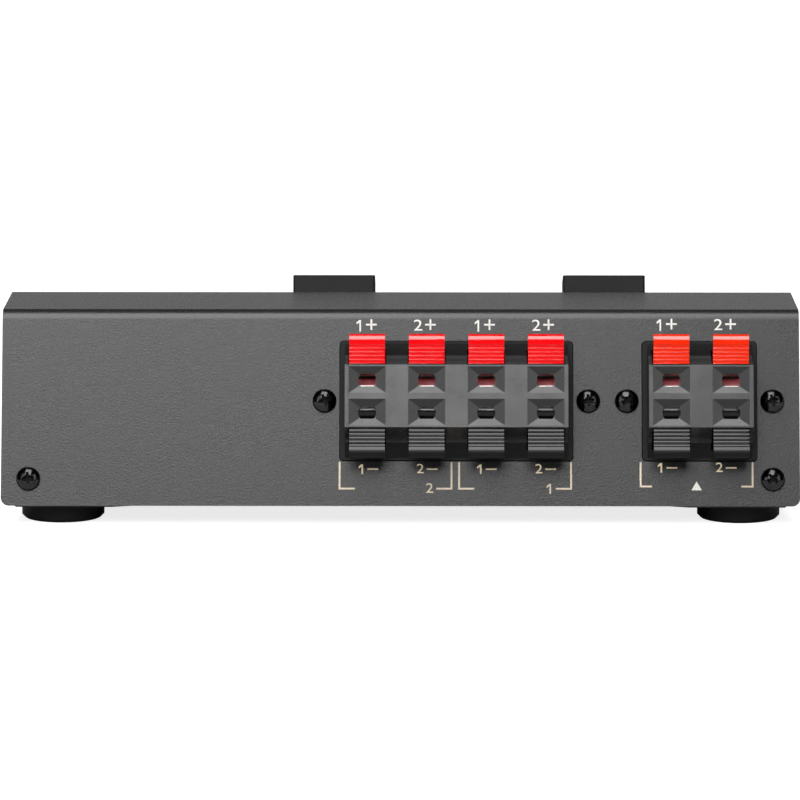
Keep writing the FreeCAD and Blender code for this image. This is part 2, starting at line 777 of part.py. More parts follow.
def make_back_plate(block):
    """Plate that closes the housing from behind, with a slot for each tag."""
    body = new_body(f"{block}_back_plate")
    outline = new_sketch(body, "XZ_Plane", f"{block}_plate", "block_back")
    gap = "(2 * back_shelf + 2 * slot_gap)"
    draw_rectangle(outline, "0", "0", f"{block_width(block)} - {gap}", f"block_height - {gap}")
    pad(body, f"{block}_plate_pad", outline, "back_plate", reverse=True)
    slots = new_sketch(body, "XZ_Plane", f"{block}_slots", "block_back")
    for column in range(COLUMNS[block]):
        for row in ROWS.values():
            draw_rectangle(slots, column_x(block, column),
                           f"{row} * (jaw_rise + strip_thickness / 2)",
                           "strip_width + 2 * slot_gap", "strip_thickness + 2 * slot_gap")
    pocket(body, f"{block}_slot_cut", slots, "3 * back_plate", symmetric=True)
    place_on_panel(body, f"{block}_x", "block_rise")


def lever_point(out, rise, row):
    """A point of a lever's side view, from its pivot."""
    return (f"({out}) - pivot_out", f"{row} * (({rise}) - pivot_rise)")


def make_lever(block, colour, row, column):
    """Push lever: ribbed grip outside, barrel with trunnions, and a tongue that closes the wire hole."""
    name = f"{block}_lever_{colour}_{column + 1}"
    body = new_body(name)

    def points(places):
        return [lever_point(out, rise, row) for out, rise in places]

    def surface(rise):
        return f"grip_out + grip_flare * (({rise}) - grip_root)"

    ribs = []
    for number in range(RIB_COUNT):
        start = f"grip_root + {number} * rib_pitch"
        for share in (0.3, 0.7):
            valley = f"{start} + {share} * rib_pitch"
            ribs.append((f"{surface(valley)} - rib_depth", valley))
        ribs.append((surface(f"{start} + rib_pitch"), f"{start} + rib_pitch"))
    nose_under = "nose_rise - nose_radius / 4"
    grip = [
        ("pivot_out", "pivot_rise"),
        ("pivot_out + barrel_radius", "grip_root"),
        ("grip_out", "grip_root"),
        *ribs,
        (surface("nose_rise"), "nose_rise"),
        (f"{surface('nose_rise')} - 1.25 * nose_radius", "nose_rise"),
        (f"{surface('nose_rise')} - grip_thickness", nose_under),
        ("pivot_out + barrel_radius / 2", "neck_rise"),
        ("pivot_out - barrel_radius / 2", "pivot_rise + 0.85 * barrel_radius"),
    ]
    profile = new_sketch(body, "YZ_Plane", f"{name}_grip")
    draw_outline(profile, points(grip))
    solid = pad(body, f"{name}_grip_pad", profile, "lever_width", symmetric=True)
    nose = corner_edges(solid, profile, [len(grip) - 5])
    solid = fillet(body, f"{name}_nose", solid, nose, "nose_radius")

    arms = new_sketch(body, "YZ_Plane", f"{name}_arms")
    draw_outline(arms, points([
        ("pivot_out + barrel_radius / 2", "pivot_rise - 0.7 * barrel_radius"),
        ("tongue_out", "tongue_near"),
        ("tongue_out - tongue_thickness", "tongue_near"),
        ("tongue_out - tongue_fall - 0.3 * tongue_thickness", "tongue_far"),
        ("pivot_out - 0.7 * barrel_radius", "pivot_rise + 0.7 * barrel_radius"),
    ]))
    pad(body, f"{name}_arm_pad", arms, "lever_width", symmetric=True)

    window = new_sketch(body, "YZ_Plane", f"{name}_window")
    clear_of_barrel = "pivot_out - barrel_radius"
    draw_outline(window, points([
        ("tongue_out", "tongue_near"),
        ("tongue_out - tongue_fall", "tongue_far"),
        ("tongue_out - tongue_fall - tongue_thickness", "tongue_far"),
        ("tongue_out - tongue_fall - tongue_thickness", "neck_rise"),
        (clear_of_barrel, "neck_rise"),
        (clear_of_barrel, "pivot_rise - barrel_radius"),
        ("throat_out", "pivot_rise - barrel_radius"),
        ("throat_out", "tongue_near"),
    ]))
    pocket(body, f"{name}_window_cut", window, "window_width", symmetric=True)

    for part, radius, length in (
        ("barrel", "barrel_radius", "lever_width"),
        ("trunnion", "trunnion_radius", "lever_width + 2 * trunnion_length"),
    ):
        circle = new_sketch(body, "YZ_Plane", f"{name}_{part}")
        draw_circle(circle, "0", "0", radius)
        pad(body, f"{name}_{part}_pad", circle, length, symmetric=True)

    rise = f"block_rise + {row} * pivot_rise"
    place(body, f"{block}_x + {column_x(block, column)}",
          f"rear_y - ({rise}) * sin(lean) + pivot_out * cos(lean)",
          f"case_bottom + ({rise}) * cos(lean) + pivot_out * sin(lean)", "panel_lean")


def make_contact(block, colour, row, column):
    """Bent strip: lip at the wire hole, leaf that springs the lever back, jaw and solder tag."""
    name = f"{block}_contact_{colour}_{column + 1}"
    body = new_body(name)
    wall = "centre_wall / 2"
    floor = "plate_out + strip_thickness"
    leaf = "tongue_near - leaf_gap"
    outline = [
        ("0 - block_back - tag_length", "jaw_rise + strip_thickness"),
        ("jaw_out", "jaw_rise + strip_thickness"),
        ("jaw_out", "jaw_rise"),
        (floor, "jaw_rise"),
        (floor, f"{wall} + leaf_root + strip_thickness"),
        ("leaf_out", leaf),
        ("leaf_out", f"{leaf} - strip_thickness"),
        (floor, f"{wall} + leaf_root"),
        (floor, f"{wall} + strip_thickness"),
        ("lip_out - strip_thickness", f"{wall} + strip_thickness"),
        ("lip_out - strip_thickness", f"{wall} + lip_reach"),
        ("lip_out", f"{wall} + lip_reach"),
        ("lip_out", wall),
        ("plate_out", wall),
        ("plate_out", "jaw_rise"),
        ("0 - block_back - tag_length", "jaw_rise"),
    ]
    profile = new_sketch(body, "YZ_Plane", f"{name}_profile")
    draw_outline(profile, [(out, f"{row} * ({rise})") for out, rise in outline])
    pad(body, f"{name}_strip", profile, "strip_width", symmetric=True)
    place_on_panel(body, f"{block}_x + {column_x(block, column)}", "block_rise")
    return body


# --- Buttons, switches and board -----------------------------------------------------------------------------

def on_deck(along, out):
    """Y and Z of a point that lies along up the deck from its rear edge, and out of its face."""
    y = f"ridge_y + ({along}) * cos(deck_angle) - ({out}) * sin(deck_angle)"
    z = f"top_z + ({along}) * sin(deck_angle) + ({out}) * cos(deck_angle)"
    return y, z


def standoff_places():
    """Standoff centres in the deck's frame."""
    rear = "0 - board_rear - standoff_margin"
    front = "standoff_margin - board_rear - board_length"
    reach = "(board_width / 2 - standoff_margin)"
    return [(f"board_x {side} {reach}", y) for side in ("+", "-") for y in (rear, front)]


def pin_places():
    """Solder pins of a switch from its middle: two rows."""
    half = (SWITCH_PINS - 1) / 2
    return [(f"{side} * pin_row / 2", f"{number - half} * pin_pitch")
            for side in (-1, 1) for number in range(SWITCH_PINS)]


def make_button(number, x):
    """Hollow cap with a boss on its plunger, over the latching switch that it works."""
    cap = new_body(f"button_cap_{number}")
    top = new_sketch(cap, "XY_Plane", f"cap_outline_{number}", "cap_proud")
    draw_rectangle(top, "0", "cap_middle", "cap_width", "cap_length")
    solid = pad(cap, f"cap_block_{number}", top, "cap_proud + cap_skirt", reverse=True)
    solid = fillet(cap, f"cap_corners_{number}", solid, corner_edges(solid, top, range(4)),
                   "cap_rounding")
    hollow = new_sketch(cap, "XY_Plane", f"cap_hollow_{number}", "0 - cap_skirt")
    draw_rectangle(hollow, "0", "cap_middle", "cap_width - 2 * cap_wall",
                   "cap_length - 2 * cap_wall")
    pocket(cap, f"cap_hollow_cut_{number}", hollow, "cap_proud + cap_skirt - cap_wall", reverse=True)
    boss = new_sketch(cap, "XY_Plane", f"cap_boss_{number}", "cap_proud - cap_wall")
    draw_circle(boss, "0", "cap_middle", "boss_radius")
    pad(cap, f"cap_boss_pad_{number}", boss, "cap_proud + cap_skirt - cap_wall", reverse=True)
    socket = new_sketch(cap, "XY_Plane", f"cap_socket_{number}", "0 - cap_skirt")
    draw_rectangle(socket, "0", "cap_middle", "plunger_width", "plunger_width")
    pocket(cap, f"cap_socket_cut_{number}", socket, "plunger_sink", reverse=True)
    place_on_deck(cap, x)

    plunger = new_body(f"switch_plunger_{number}")
    section = new_sketch(plunger, "XY_Plane", f"plunger_section_{number}",
                         "plunger_sink - cap_skirt")
    draw_rectangle(section, "0", "cap_middle", "plunger_width", "plunger_width")
    pad(plunger, f"plunger_rod_{number}", section,
        "plunger_sink - cap_skirt - switch_top + plunger_sink", reverse=True)
    place_on_deck(plunger, x)

    switch = new_body(f"push_switch_{number}")
    outline = new_sketch(switch, "XY_Plane", f"switch_outline_{number}", "switch_top")
    draw_rectangle(outline, "0", "cap_middle", "switch_width", "switch_length")
    pad(switch, f"switch_block_{number}", outline, "switch_height", reverse=True)
    well = new_sketch(switch, "XY_Plane", f"switch_well_{number}", "switch_top")
    side = "plunger_width + 2 * plunger_gap"
    draw_rectangle(well, "0", "cap_middle", side, side)
    pocket(switch, f"switch_well_cut_{number}", well, "plunger_sink + button_travel + cap_wall")
    pins = new_sketch(switch, "XY_Plane", f"switch_pins_{number}", "0 - board_drop")
    for across, along in pin_places():
        draw_rectangle(pins, across, f"cap_middle + {along}", "pin_width", "pin_width")
    pad(switch, f"switch_pin_pad_{number}", pins, "pin_length", reverse=True)
    place_on_deck(switch, x)


def make_board(button_places):
    """Circuit board that hangs under the deck, with holes for the switch pins and the screws."""
    body = new_body("switch_board")
    outline = new_sketch(body, "XY_Plane", "board_outline", "0 - board_drop")
    draw_rectangle(outline, "board_x", "0 - board_rear - board_length / 2", "board_width",
                   "board_length")
    pad(body, "board_plate", outline, "board_thickness", reverse=True)
    holes = new_sketch(body, "XY_Plane", "board_holes", "0 - board_drop")
    for x in button_places:
        for across, along in pin_places():
            draw_rectangle(holes, f"{x} + {across}", f"cap_middle + {along}",
                           "pin_width + 2 * pin_gap", "pin_width + 2 * pin_gap")
    for x, y in standoff_places():
        draw_circle(holes, x, y, "screw_radius + hole_gap")
    pocket(body, "board_hole_cut", holes, "3 * board_thickness", symmetric=True)
    place_on_deck(body, "0")


def make_standoffs():
    """Four threaded standoffs that are welded under the deck and carry the board."""
    body = new_body("board_standoffs")
    body.AllowCompound = True
    rings = new_sketch(body, "XY_Plane", "standoff_rings", "0 - sheet")
    for x, y in standoff_places():
        draw_circle(rings, x, y, "standoff_radius")
    pad(body, "standoff_posts", rings, "board_drop - sheet", reverse=True)
    bores = new_sketch(body, "XY_Plane", "standoff_bores", "0 - board_drop")
    for x, y in standoff_places():
        draw_circle(bores, x, y, "screw_radius + thread_gap")
    pocket(body, "standoff_bore_cut", bores, "long_screw", reverse=True)
    place_on_deck(body, "0")


# --- Wires -----------------------------------------------------------------------------------------------------

def wire_path(points):
    """Straight runs joined by arcs that touch them, and the smallest arc's radius."""
    edges = []
    start = points[0]
    radii = []
    for before, corner, after in zip(points, points[1:], points[2:]):
        back = before - corner
        ahead = after - corner
        turn = math.pi - back.getAngle(ahead)
        reach = 0.45 * min(back.Length, ahead.Length)
        half = (back.normalize() + ahead.normalize()).normalize()
        radius = reach / math.tan(turn / 2)
        radii.append(radius)
        enter = corner + back * reach
        leave = corner + ahead * reach
        middle = corner + half * (radius / math.cos(turn / 2) - radius)
        edges.append(Part.LineSegment(start, enter).toShape())
        edges.append(Part.Arc(enter, middle, leave).toShape())
        start = leave
    edges.append(Part.LineSegment(start, points[-1]).toShape())
    return Part.Wire(edges), min(radii)


def make_wires(colour, row):
    """One wire from each tag of a row to the board: upper row to its top, lower row beneath it."""
    solids = []
    smallest = []
    radius = V(SIZES["wire_radius"], 0, 0)
    turns = [FreeCAD.Rotation(V(0, 0, 1), 360 * side / WIRE_SIDES) for side in range(WIRE_SIDES + 1)]
    for block in COLUMNS:
        for column in range(COLUMNS[block]):
            contact = doc.getObject(f"{block}_contact_{colour}_{column + 1}").Placement
            board = doc.getObject("switch_board").Placement
            tag = V(0, -measure("block_back + tag_length"),
                    row * measure("jaw_rise + strip_thickness / 2"))
            face = measure("wire_radius + wire_gap - board_drop")
            if row < 0:
                face = -measure("board_drop + board_thickness + wire_radius + wire_gap")
            x = contact.Base.x
            tail = V(x, -measure("board_rear + wire_board_run"), face)
            lead = V(0, measure("wire_end_run + wire_board_run"), 0)
            run = V(0, -measure("wire_end_run"), 0)
            start = contact.multVec(tag)
            points = [start, contact.multVec(tag + run), board.multVec(tail + lead),
                      board.multVec(tail)]
            path, bend = wire_path(points)
            smallest.append(bend)
            across = FreeCAD.Rotation(V(0, 0, 1), points[1] - points[0])
            section = Part.makePolygon([start + (across * turn).multVec(radius) for turn in turns])
            solids.append(path.makePipe(Part.Face(section)))
    wires = doc.addObject("Part::Feature", f"{colour}_wires")
    wires.Label = f"{colour}_wires"
    wires.Shape = Part.makeCompound(solids)
    print(f"{colour} wires: smallest bend radius {min(smallest):.1f} mm")


# --- Assembly ----------------------------------------------------------------------------------------------------

def check_and_export():
    """Stop at anything that failed, then write one STEP file for each sub-part."""
    for item in doc.Objects:
        if {"Invalid", "Error"} & set(item.State):
            raise RuntimeError(f"{item.Name} failed: {item.State}")
    pieces = [item for item in doc.Objects if item.TypeId in ("PartDesign::Body", "Part::Feature")]
    pieces = [item for item in pieces if item.getParentGeoFeatureGroup() is None]
    os.makedirs("parts", exist_ok=True)
    for piece in pieces:
        if piece.Shape.isNull() or not piece.Shape.isValid():
            raise RuntimeError(f"{piece.Label} has no valid shape")
    for piece in pieces:
        piece.Shape.exportStep(f"parts/{piece.Label}.step")
    print(f"{len(pieces)} sub-parts written")


write_sheet()
name_places()
make_top_cover()
make_base_tray()
make_feet()
for block in COLUMNS:
    make_housing(block)
    make_back_plate(block)
    for colour, row in ROWS.items():
        for column in range(COLUMNS[block]):
            make_lever(block, colour, row, column)
            make_contact(block, colour, row, column)
button_places = [f"button_x {side} button_pitch / 2" for side in ("+", "-")]
for number, x in enumerate(button_places, start=1):
    make_button(number, x)
make_board(button_places)
make_standoffs()
make_all_screws()
for colour, row in ROWS.items():
    make_wires(colour, row)
doc.recompute()
check_and_export()
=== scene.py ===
import math

import bmesh
import bpy
from mathutils import Matrix, Vector


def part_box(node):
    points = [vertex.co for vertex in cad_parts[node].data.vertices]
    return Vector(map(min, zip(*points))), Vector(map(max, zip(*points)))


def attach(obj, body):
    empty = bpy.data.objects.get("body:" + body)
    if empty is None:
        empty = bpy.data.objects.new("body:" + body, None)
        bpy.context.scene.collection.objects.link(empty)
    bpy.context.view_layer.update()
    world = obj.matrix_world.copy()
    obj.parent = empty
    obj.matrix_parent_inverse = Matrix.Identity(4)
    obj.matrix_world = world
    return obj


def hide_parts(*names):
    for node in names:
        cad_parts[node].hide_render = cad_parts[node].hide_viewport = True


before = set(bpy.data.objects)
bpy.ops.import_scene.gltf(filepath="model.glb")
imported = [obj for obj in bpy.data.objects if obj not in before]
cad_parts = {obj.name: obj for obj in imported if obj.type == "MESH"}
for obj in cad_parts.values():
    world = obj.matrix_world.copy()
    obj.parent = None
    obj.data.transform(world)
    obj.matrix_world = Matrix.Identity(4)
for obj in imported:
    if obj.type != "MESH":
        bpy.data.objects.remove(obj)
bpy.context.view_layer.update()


# Top cover: one sheet of 1 mm steel, folded into rear panel, top strip, deck, lip and hem. It is
# sprayed with charcoal powder, which bakes to a fine, slightly pebbled satin skin.

def flat_normals(mesh, split_angle):
    """A normal for each corner that follows the widest flat at that corner, so flats stay flat."""
    same_flat = 0.99999
    square_mm = 1e6
    form = bmesh.new()
    form.from_mesh(mesh)
    weight = {}
    for face in form.faces:
        if face in weight:
            continue
        flat = [face]
        weight[face] = 0
        for member in flat:
            for edge in member.edges:
                for other in edge.link_faces:
                    if other not in weight and other.normal.dot(face.normal) > same_flat:
                        weight[other] = 0
                        flat.append(other)
        area = sum(member.calc_area() for member in flat) * square_mm
        for member in flat:
            weight[member] = area * area
    limit = math.cos(math.radians(split_angle))
    normals = []
    for face in form.faces:
        for vert in face.verts:
            near = [other for other in vert.link_faces if other.normal.dot(face.normal) > limit]
            total = sum((other.normal * weight[other] for other in near), Vector())
            normals.append(total.normalized())
    form.free()
    return normals


def joined_copy(node, split_angle, edge_round=0.0, segments=2):
    """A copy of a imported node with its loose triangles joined, smooth across gentle bends."""
    shell = bmesh.new()
    shell.from_mesh(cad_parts[node].data)
    bmesh.ops.remove_doubles(shell, verts=shell.verts, dist=1e-6)
    for face in shell.faces:
        face.smooth = True
    mesh = bpy.data.meshes.new(f"{node}_skin")
    shell.to_mesh(mesh)
    shell.free()
    mesh.set_sharp_from_angle(angle=math.radians(split_angle))
    if not edge_round:
        mesh.normals_split_custom_set(flat_normals(mesh, split_angle))
    piece = bpy.data.objects.new(f"{node}_skin", mesh)
    bpy.context.scene.collection.objects.link(piece)
    if edge_round:
        round_edges(piece, edge_round, segments, split_angle)
    return piece


def round_edges(piece, width, segments, angle):
    """Breaks the piece's edges with a small round that catches the light."""
    edge = piece.modifiers.new("edges", "BEVEL")
    edge.width = width
    edge.segments = segments
    edge.limit_method = "ANGLE"
    edge.angle_limit = math.radians(angle)
    edge.miter_outer = "MITER_ARC"
    flats = piece.modifiers.new("flats", "WEIGHTED_NORMAL")
    flats.keep_sharp = True


def stand_for(piece, node, body, material):
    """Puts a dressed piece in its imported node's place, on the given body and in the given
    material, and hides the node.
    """
    piece.data.materials.append(material)
    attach(piece, body)
    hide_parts(node)


def new_material(name, gloss=0.5, metal=0.0):
    """A material with its node tree and the coordinates of the piece that wears it."""
    material = bpy.data.materials.new(name)
    material.use_nodes = True
    tree = material.node_tree
    shader = tree.nodes["Principled BSDF"]
    shader.inputs["Specular IOR Level"].default_value = gloss
    shader.inputs["Metallic"].default_value = metal
    return material, tree, tree.nodes.new("ShaderNodeTexCoord").outputs["Object"]


def feed(tree, value, socket):
    """Sets a socket to a number or colour, or links it to another node's result."""
    if isinstance(value, bpy.types.NodeSocket):
        tree.links.new(value, socket)
    else:
        socket.default_value = value


def noise(tree, place, scale, detail, roughness=0.5):
    """Random patches, about as many to the metre as the scale says."""
    texture = tree.nodes.new("ShaderNodeTexNoise")
    texture.inputs["Scale"].default_value = scale
    texture.inputs["Detail"].default_value = detail
    texture.inputs["Roughness"].default_value = roughness
    tree.links.new(place, texture.inputs["Vector"])
    return texture.outputs["Fac"]


def ramp(tree, value, low, high, start=0.0, end=1.0):
    """The value mapped from start..end to low..high."""
    step = tree.nodes.new("ShaderNodeMapRange")
    for key, mark in (("From Min", start), ("From Max", end), ("To Min", low), ("To Max", high)):
        feed(tree, mark, step.inputs[key])
    tree.links.new(value, step.inputs["Value"])
    return step.outputs["Result"]


def combine(tree, operation, first, second):
    """One value worked out from two."""
    both = tree.nodes.new("ShaderNodeMath")
    both.operation = operation
    tree.links.new(first, both.inputs[0])
    tree.links.new(second, both.inputs[1])
    return both.outputs["Value"]


def shaded(tree, colour, tone):
    """The colour, paler where the tone is over one and darker where it is under."""
    scaled = tree.nodes.new("ShaderNodeVectorMath")
    scaled.operation = "SCALE"
    scaled.inputs[0].default_value = colour
    tree.links.new(tone, scaled.inputs["Scale"])
    return scaled.outputs["Vector"]


def coat(tree, colour, shine, relief, strength, depth):
    """Gives the material its colour and its shine, and lets the relief stand out on it."""
    shader = tree.nodes["Principled BSDF"]
    feed(tree, colour, shader.inputs["Base Color"])
    feed(tree, shine, shader.inputs["Roughness"])
    bump = tree.nodes.new("ShaderNodeBump")
    bump.inputs["Strength"].default_value = strength
    bump.inputs["Distance"].default_value = depth
    tree.links.new(relief, bump.inputs["Height"])
    tree.links.new(bump.outputs["Normal"], shader.inputs["Normal"])


MOST_OF_NOISE = (0.3, 0.7)


def powder_coat(name, colour, pebble_mm, strength, roughness):
    """Baked powder: a pebbled skin, with a little more shine on the crowns of the pebbles."""
    material, tree, place = new_material(name, gloss=0.41)
    pebbles = noise(tree, place, 1000 / pebble_mm, detail=2.5, roughness=0.55)
    clouds = noise(tree, place, 28, detail=3)
    speck = ramp(tree, pebbles, 0.8, 1.2, *MOST_OF_NOISE)
    drift = ramp(tree, clouds, 0.93, 1.07)
    paint = shaded(tree, colour, combine(tree, "MULTIPLY", speck, drift))
    shine = ramp(tree, pebbles, roughness + 0.05, roughness - 0.05, *MOST_OF_NOISE)
    coat(tree, paint, shine, pebbles, strength, depth=pebble_mm / 4000)
    return material


charcoal_powder = powder_coat(
    "charcoal_powder", (0.014, 0.014, 0.014), pebble_mm=0.38, strength=0.55, roughness=0.29)
cover = joined_copy("top_cover", 35)
stand_for(cover, "top_cover", "case", charcoal_powder)


# Base tray: floor, side walls and rear flange of black-coated steel, with a pressed pad over each
# foot. It hooks over the cover's hem in front and is screwed to the rear panel.

black_powder = powder_coat(
    "black_powder", (0.006, 0.006, 0.006), pebble_mm=0.35, strength=0.25, roughness=0.5)
tray = joined_copy("base_tray", 35)
stand_for(tray, "base_tray", "case", black_powder)


# Feet: discs of moulded black rubber with a faint grey bloom, each held to the tray by a screw in
# its recess.

def blend(tree, factor, below, above, kind="FLOAT"):
    """Below where the factor is 0 and above where it is 1, as numbers or as RGBA colours."""
    mix = tree.nodes.new("ShaderNodeMix")
    mix.data_type = kind
    tree.links.new(factor, mix.inputs["Factor"])
    feed(tree, below, mix.inputs["A"])
    feed(tree, above, mix.inputs["B"])
    return mix.outputs["Result"]


def rubber(name, colour):
    """Dull rubber with a fine moulded grain and a faint grey bloom."""
    material, tree, place = new_material(name, gloss=0.15)
    grain = noise(tree, place, 2600, detail=2)
    bloom = noise(tree, place, 160, detail=4)
    greyed = (1.7 * part + 0.002 for part in colour)
    tone = blend(tree, bloom, (*colour, 1), (*greyed, 1), "RGBA")
    shine = ramp(tree, bloom, 0.55, 0.8)
    coat(tree, tone, shine, grain, strength=0.3, depth=0.00008)
    return material


foot_rubber = rubber("foot_rubber", (0.004, 0.004, 0.004))
for corner in ("rear_left", "rear_right", "front_left", "front_right"):
    foot = joined_copy(f"foot_{corner}", 35)
    stand_for(foot, f"foot_{corner}", "case", foot_rubber)


# Terminal housings: glossy black mouldings with a funnel for each wire, and behind each a plate
# that carries the contacts. The mould leaves soft edges, and only its front faces are polished.

LEAN = math.radians(16.5)
cover_low, cover_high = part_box("top_cover")
PANEL_FOOT = Vector((0, cover_high.y, cover_low.z))
UP_PANEL = Vector((0, -math.sin(LEAN), math.cos(LEAN)))
OFF_PANEL = Vector((0, math.cos(LEAN), math.sin(LEAN)))


def moulded_plastic(
    name, colour, roughness, grain=0.12, grain_mm=0.25, gloss=0.5, inner=None, inner_painted_light_colour=None
):
    """Injection-moulded plastic: nearly even colour, a soft orange-peel skin and uneven shine.

    inner is (axis, start, gloss, roughness) of the part that the mould leaves unpolished. It lies
    short of the start, which is in metres along the axis from the panel's foot. If given,
    inner_painted_light_colour is a paler colour painted on that part: painted light and a painted
    pale sheen, where the part lies in shade inside the housing.
    """
    material, tree, place = new_material(name, gloss)
    flow = noise(tree, place, 220, detail=4)
    skin = noise(tree, place, 1000 / grain_mm, detail=2)
    tint = shaded(tree, colour, ramp(tree, flow, 0.88, 1.12))
    shine = ramp(tree, flow, roughness - 0.03, roughness + 0.04, *MOST_OF_NOISE)
    if inner:
        axis, start, inner_gloss, inner_roughness = inner
        along = tree.nodes.new("ShaderNodeVectorMath")
        along.operation = "DOT_PRODUCT"
        along.inputs[1].default_value = axis
        tree.links.new(place, along.inputs[0])
        change = PANEL_FOOT.dot(axis) + start
        step = (change, change + 0.0003)
        outward = along.outputs["Value"]
        polish = ramp(tree, outward, inner_gloss, gloss, *step)
        tree.links.new(polish, tree.nodes["Principled BSDF"].inputs["Specular IOR Level"])
        shine = ramp(tree, outward, inner_roughness, shine, *step)
        # The inner part turns paler here: painted light on a part that lies in shade inside the
        # housing.
        if inner_painted_light_colour:
            outer_part = ramp(tree, outward, 0.0, 1.0, *step)
            tint = blend(tree, outer_part, inner_painted_light_colour, tint, "RGBA")
    coat(tree, tint, shine, skin, strength=grain, depth=grain_mm / 8000)
    return material


black_moulding = moulded_plastic(
    "black_moulding", (0.006, 0.006, 0.006), 0.24, inner=(OFF_PANEL, 0.004, 0.12, 0.45))
plate_moulding = moulded_plastic("plate_moulding", (0.01, 0.01, 0.01), 0.5)
BLOCKS = {"speaker": 4, "amplifier": 2}
for block in BLOCKS:
    housing = joined_copy(f"{block}_terminal_housing", 16, edge_round=0.00012)
    stand_for(housing, f"{block}_terminal_housing", "case", black_moulding)
    plate = joined_copy(f"{block}_back_plate", 30)
    stand_for(plate, f"{block}_back_plate", "case", plate_moulding)


# Levers: red ones in the upper row and black ones in the lower, each moulded in one piece with its
# ribbed grip, barrel and tongue. The trunnions snap into the housing. The reds come in two batches.

# The reds' inner ends, seen through the wire holes, are painted pale pink: painted light and sheen.
RED_FINISH = {
    "roughness": 0.13, "grain": 0.05, "gloss": 0.7,
    "inner": (OFF_PANEL, 0.0046, 0.8, 0.33), "inner_painted_light_colour": (1, 0.30, 0.34, 1)}
LEVER_REDS = {
    "speaker": moulded_plastic("red_moulding", (0.66, 0.001, 0.003), **RED_FINISH),
    "amplifier": moulded_plastic("warm_red", (0.66, 0.017, 0.001), **RED_FINISH)}
black_grip = moulded_plastic(
    "black_grip", (0.005, 0.005, 0.005), 0.18, gloss=0.36, inner=(UP_PANEL, 0.0127, 0.12, 0.4))


def round_crests(piece, width):
    """Rounds the crests that run across a grip more than its other edges."""
    crest_angle = math.radians(65)
    form = bmesh.new()
    form.from_mesh(piece.data)
    weight = form.edges.layers.float.new("bevel_weight_edge")
    for edge in form.edges:
        across = all(abs(face.normal.x) < 0.01 for face in edge.link_faces)
        if across and edge.calc_face_angle_signed(0) > crest_angle:
            edge[weight] = 1
    form.to_mesh(piece.data)
    form.free()
    crests = piece.modifiers.new("crests", "BEVEL")
    crests.limit_method = "WEIGHT"
    crests.width = width
    crests.segments = 4
    piece.modifiers.move(len(piece.modifiers) - 1, 0)


for block, columns in BLOCKS.items():
    for colour, material in (("red", LEVER_REDS[block]), ("black", black_grip)):
        for column in range(1, columns + 1):
            name = f"{block}_lever_{colour}_{column}"
            lever = joined_copy(name, 28, edge_round=0.00006)
            round_crests(lever, 0.0001)
            stand_for(lever, name, f"{name}_body", material)


# Contacts: bent strips of tinned spring metal, each pushed into a slot of the housing from behind.
# Only their lips show, at the foot of each wire hole.

def bare_metal(name, colour, roughness, streaks):
    """Rolled or turned metal, with fine streaks and dull patches in its shine."""
    material, tree, place = new_material(name, metal=1.0)
    stretch = tree.nodes.new("ShaderNodeMapping")
    stretch.inputs["Scale"].default_value = streaks
    tree.links.new(place, stretch.inputs["Vector"])
    lines = noise(tree, stretch.outputs["Vector"], 900, detail=3)
    tint = shaded(tree, colour, ramp(tree, lines, 0.85, 1.1))
    shine = ramp(tree, lines, roughness - 0.08, roughness + 0.12)
    coat(tree, tint, shine, lines, strength=0.1, depth=0.00003)
    return material


tinned_strip = bare_metal("tinned_strip", (0.64, 0.63, 0.61), 0.3, (1, 8, 1))
for block, columns in BLOCKS.items():
    for colour in ("red", "black"):
        for column in range(1, columns + 1):
            name = f"{block}_contact_{colour}_{column}"
            contact = joined_copy(name, 30)
            stand_for(contact, name, "case", tinned_strip)


# Panel screws: blackened M3 steel screws with low pan heads and a cross recess. Four hold the
# terminal blocks to the rear panel, and two in the lower corners hold the cover to the tray.

def panel_place(x, rise, out):
    """Turns panel measures, in millimetres, into a frame: right, up the panel, out of it."""
    origin = PANEL_FOOT + (Vector((x, 0, 0)) + rise * UP_PANEL + out * OFF_PANEL) / 1000
    turn = Matrix((Vector((-1, 0, 0)), UP_PANEL, OFF_PANEL)).transposed().to_4x4()
    return Matrix.Translation(origin) @ turn


